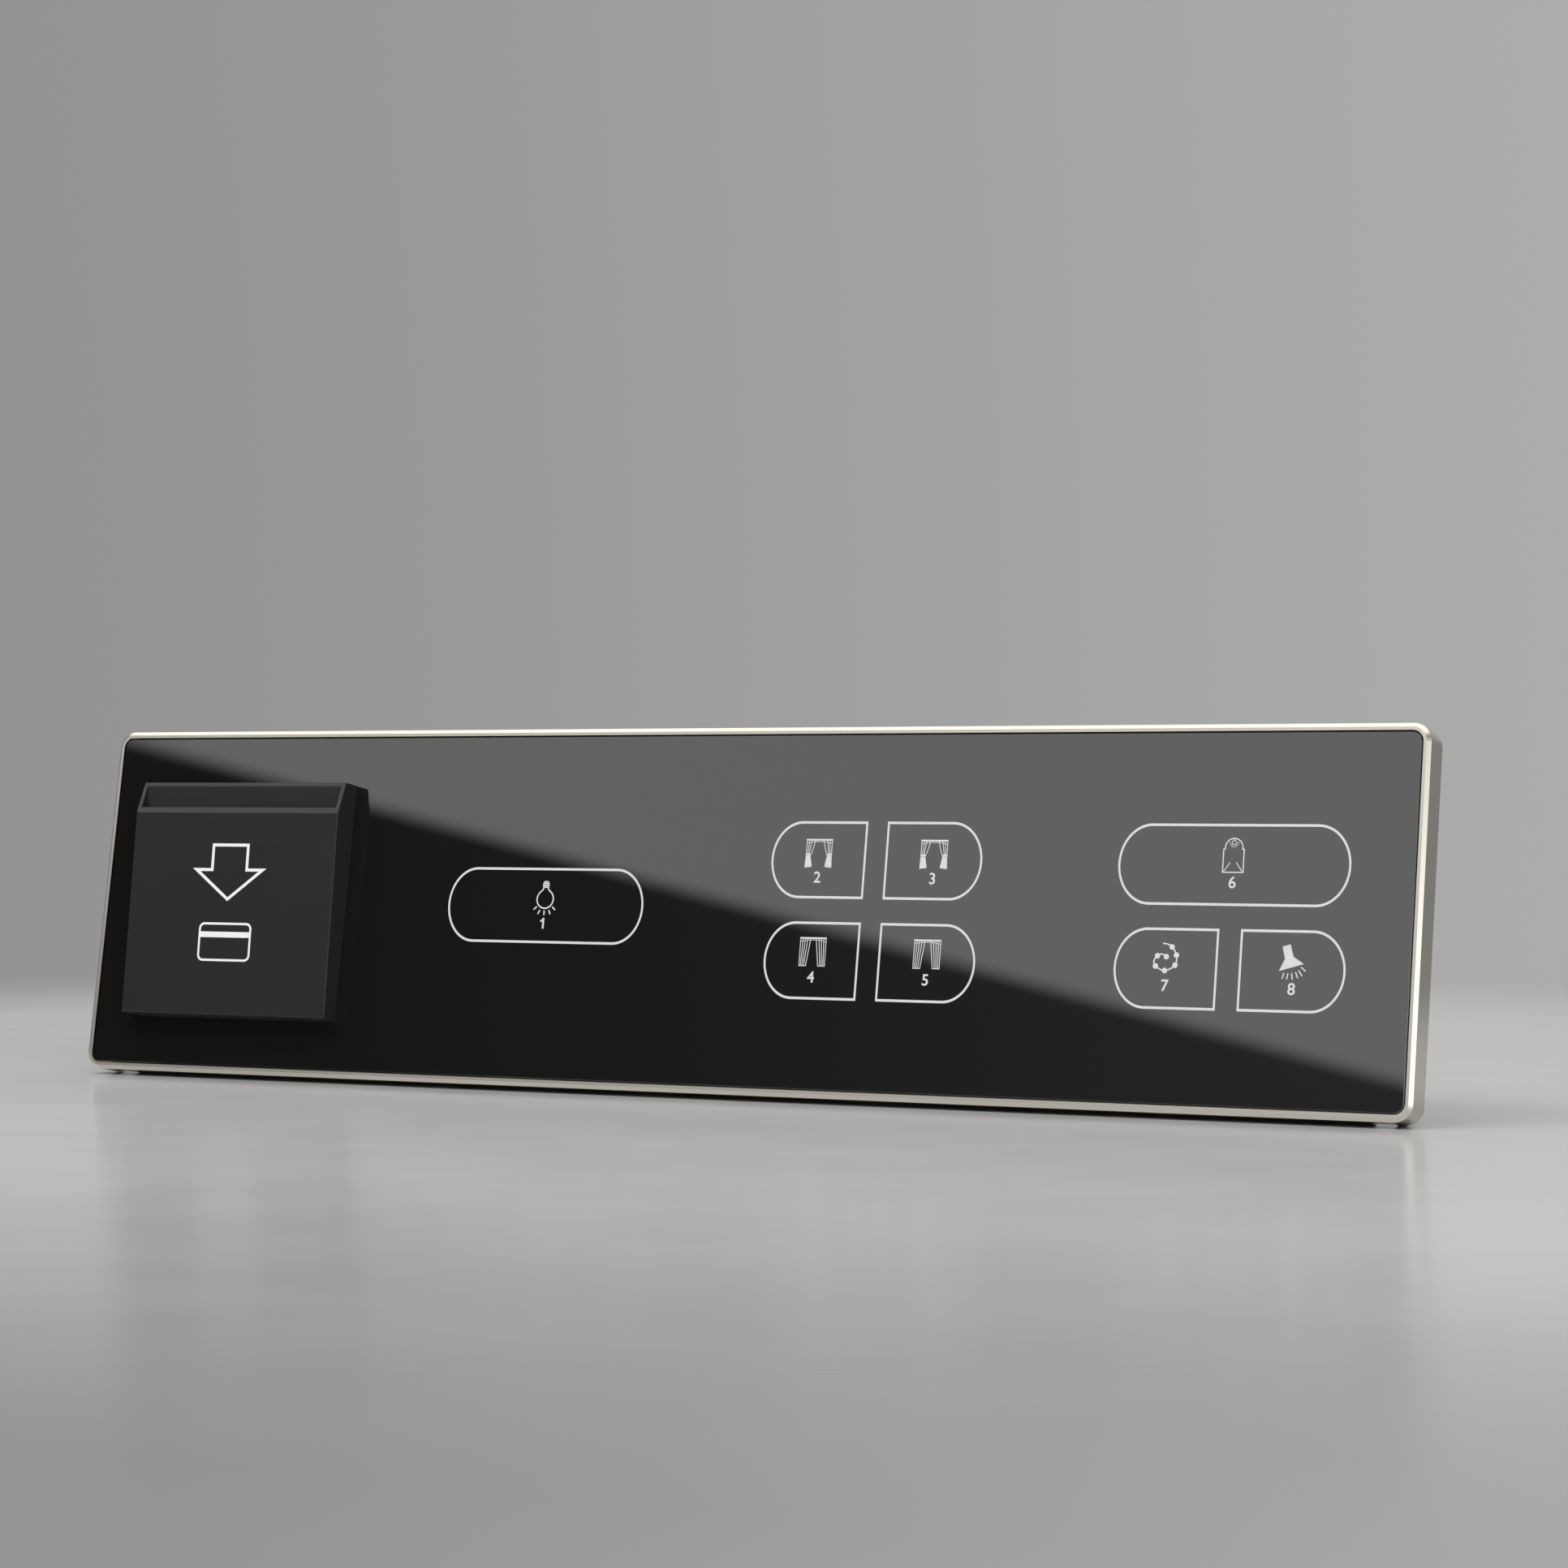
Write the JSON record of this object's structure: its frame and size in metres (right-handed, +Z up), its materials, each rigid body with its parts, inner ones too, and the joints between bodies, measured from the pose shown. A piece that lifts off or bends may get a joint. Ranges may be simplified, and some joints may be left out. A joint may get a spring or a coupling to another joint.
{
  "type": "glass touch switch",
  "caption": "Long black glass wall panel in a slim metal trim, with a slanted key-card holder on one gang and printed touch keys for room, curtain and lamp on the others.",
  "frame": {"origin": "on the wall plane (the mounting plate's rear face), behind the centre of the panel", "axes": "+X along the panel to the right as seen from the room, -Y out of the wall into the room, +Z up"},
  "size_m": [0.344, 0.0432, 0.086],
  "materials": {
    "black_glass": "polished, painted black behind",
    "champagne_trim": "fine satin, champagne anodised",
    "holder_plastic": "fine matt moulded",
    "carrier_plastic": "moulded",
    "adhesive": "foam adhesive sheet",
    "board": "solder-masked board",
    "conductive_rubber": "smooth",
    "diffuser": "milky clear",
    "led": "clear resin",
    "chip": "moulded resin",
    "copper": "copper winding",
    "connector": "black moulded, tinned pins",
    "spring_steel": "bright spring strip",
    "zinc_steel": "zinc plated",
    "case_plastic": "fine texture",
    "relay_plastic": "moulded",
    "supply_plastic": "potted block",
    "terminal_plastic": "moulded",
    "screw_steel": "zinc plated"
  },
  "bodies": {
    "wall_base": {"mounting_plate": "zinc_steel", "module_screws": "screw_steel", "power_supplies": "supply_plastic", "terminal_screws": "screw_steel", "card_case": "case_plastic", "card_lid": "case_plastic", "card_power_board": "board", "card_socket": "connector", "card_relays": "relay_plastic", "card_terminal_block": "terminal_plastic", "room_case": "case_plastic", "room_lid": "case_plastic", "room_power_board": "board", "room_socket": "connector", "room_relays": "relay_plastic", "room_terminal_block": "terminal_plastic", "curtain_case": "case_plastic", "curtain_lid": "case_plastic", "curtain_power_board": "board", "curtain_socket": "connector", "curtain_relays": "relay_plastic", "curtain_terminal_block": "terminal_plastic", "lamp_case": "case_plastic", "lamp_lid": "case_plastic", "lamp_power_board": "board", "lamp_socket": "connector", "lamp_relays": "relay_plastic", "lamp_terminal_block": "terminal_plastic"},
    "front_panel": {"glass_panel": "black_glass", "trim_frame": "champagne_trim", "panel_carrier": "carrier_plastic", "glass_tape": "adhesive", "card_holder_front": "holder_plastic", "card_holder_back": "holder_plastic", "card_holder_screws": "screw_steel", "card_reader_board": "board", "antenna_coil": "copper", "room_touch_board": "board", "curtain_touch_board": "board", "lamp_touch_board": "board", "key_leds": "led", "control_chips": "chip", "spring_clips": "spring_steel", "card_header": "connector", "room_header": "connector", "curtain_header": "connector", "lamp_header": "connector", "room_touch_pads": "conductive_rubber", "room_diffusers": "diffuser", "curtain_touch_pads": "conductive_rubber", "curtain_diffusers": "diffuser", "lamp_touch_pads": "conductive_rubber", "lamp_diffusers": "diffuser"}
  },
  "joints": [
    {"name": "panel_pull", "type": "slide", "parent": "wall_base", "child": "front_panel", "axis": [0, -1, 0], "range_m": [0, 0.02], "deforming": ["spring_clips"]}
  ]
}
